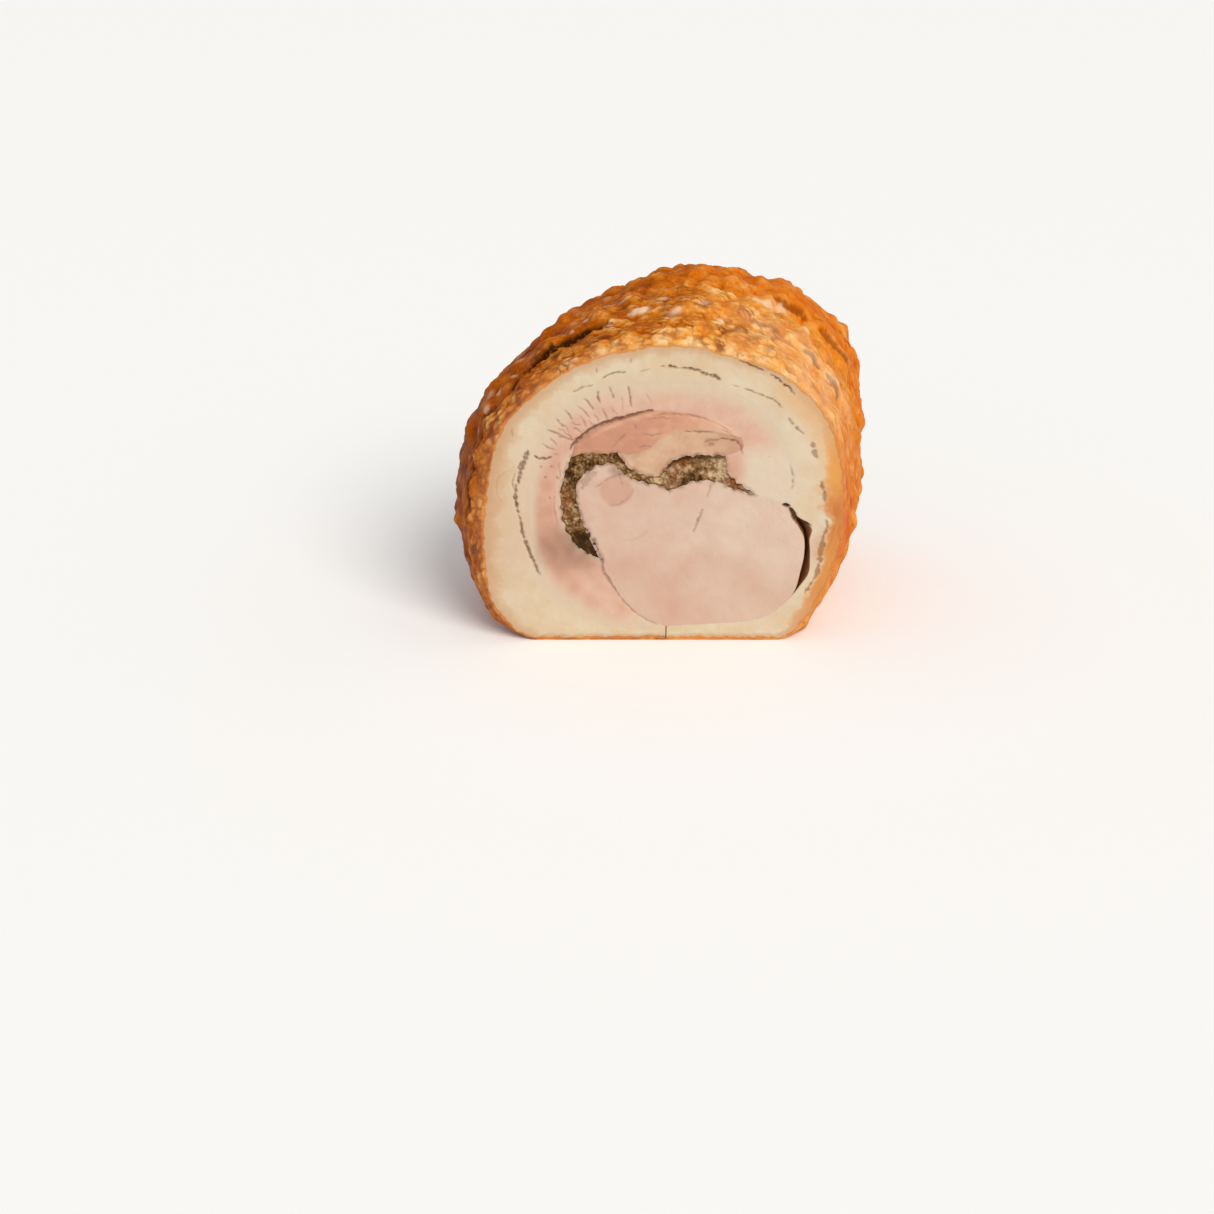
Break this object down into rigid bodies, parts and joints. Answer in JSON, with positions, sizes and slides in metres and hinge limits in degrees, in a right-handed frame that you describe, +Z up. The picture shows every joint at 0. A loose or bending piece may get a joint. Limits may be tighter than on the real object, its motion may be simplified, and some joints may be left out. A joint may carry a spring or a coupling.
{
  "type": "porchetta",
  "caption": "Tied and roasted roll of pork belly round a loin with herb filling, crisp crackling outside, cut across to show its layers.",
  "frame": {"origin": "on the table, below the middle of the box round the roast", "axes": "+X across the cut face to the right as seen from in front of it, +Y along the roll from the cut face to the roasted end, +Z up from the flattened underside that it rests on"},
  "size_m": [0.1736, 0.1174, 0.1396],
  "materials": {
    "crackling": "crisp roasted pork rind, blistered, orange brown with golden and dark brown patches, satin with greasy highlights",
    "pork_fat": "soft cream-coloured cooked fat, moist satin",
    "pork_lean": "pale pink cooked lean of the belly, moist satin",
    "pink_fold": "darker salmon-pink folded strip of lean, moist satin",
    "herb_filling": "chopped olive-brown herbs and pepper, rough and crumbly",
    "loin": "pale pink cooked pork loin, fine grain, moist satin"
  },
  "bodies": {
    "root": {"fat_cap": "crackling", "belly_lean": "pork_lean", "pink_fold": "pink_fold", "inner_fat": "pork_fat", "herb_filling": "herb_filling", "loin": "loin"}
  },
  "joints": []
}
